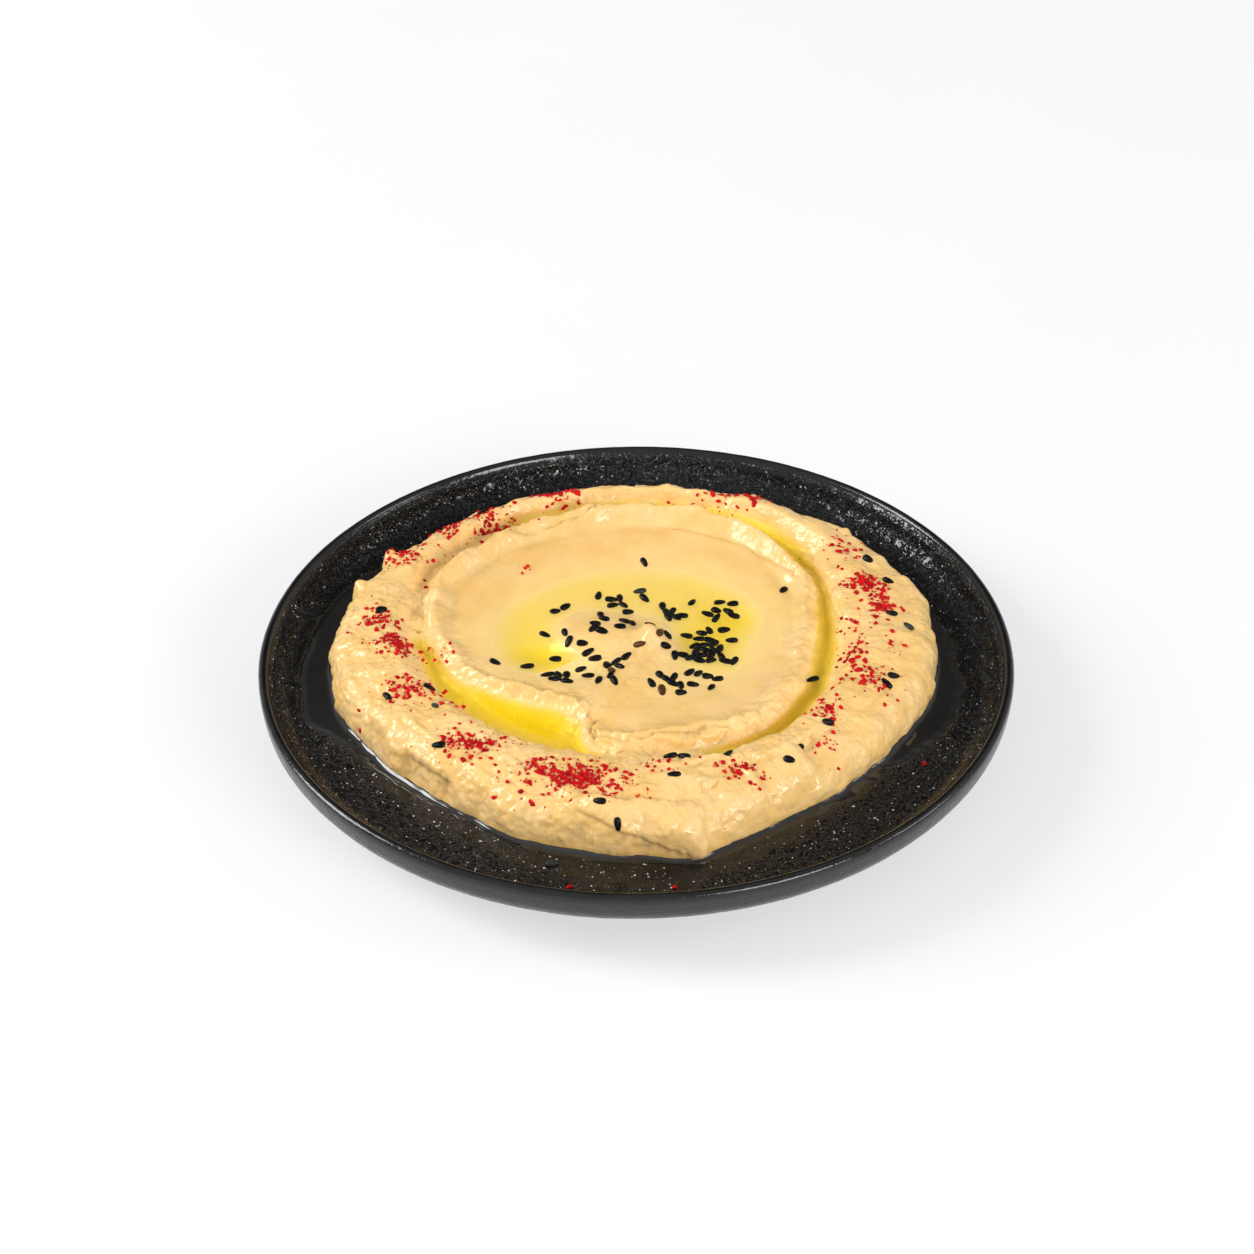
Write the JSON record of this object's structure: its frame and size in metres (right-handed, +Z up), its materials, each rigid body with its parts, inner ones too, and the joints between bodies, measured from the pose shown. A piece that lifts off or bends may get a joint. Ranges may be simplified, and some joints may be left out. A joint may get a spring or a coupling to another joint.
{
  "type": "hummus",
  "caption": "Swirled hummus on a round black stoneware plate, with pools of olive oil, black sesame seeds and sumac.",
  "frame": {"origin": "on the plate's axis, on the surface that its foot ring stands on", "axes": "+Z up along the plate's axis, -Y towards the viewer, +X to the viewer's right"},
  "size_m": [0.19, 0.19, 0.0259],
  "materials": {
    "plate": "black stoneware glaze, glossy and finely wrinkled",
    "hummus": "moist cream-coloured dip, satin",
    "oil": "golden olive oil, glossy and clear"
  },
  "bodies": {
    "root": {"plate": "plate", "hummus": "hummus", "oil_moat_front": "oil", "oil_moat_back": "oil", "oil_dish": "oil"}
  },
  "joints": []
}
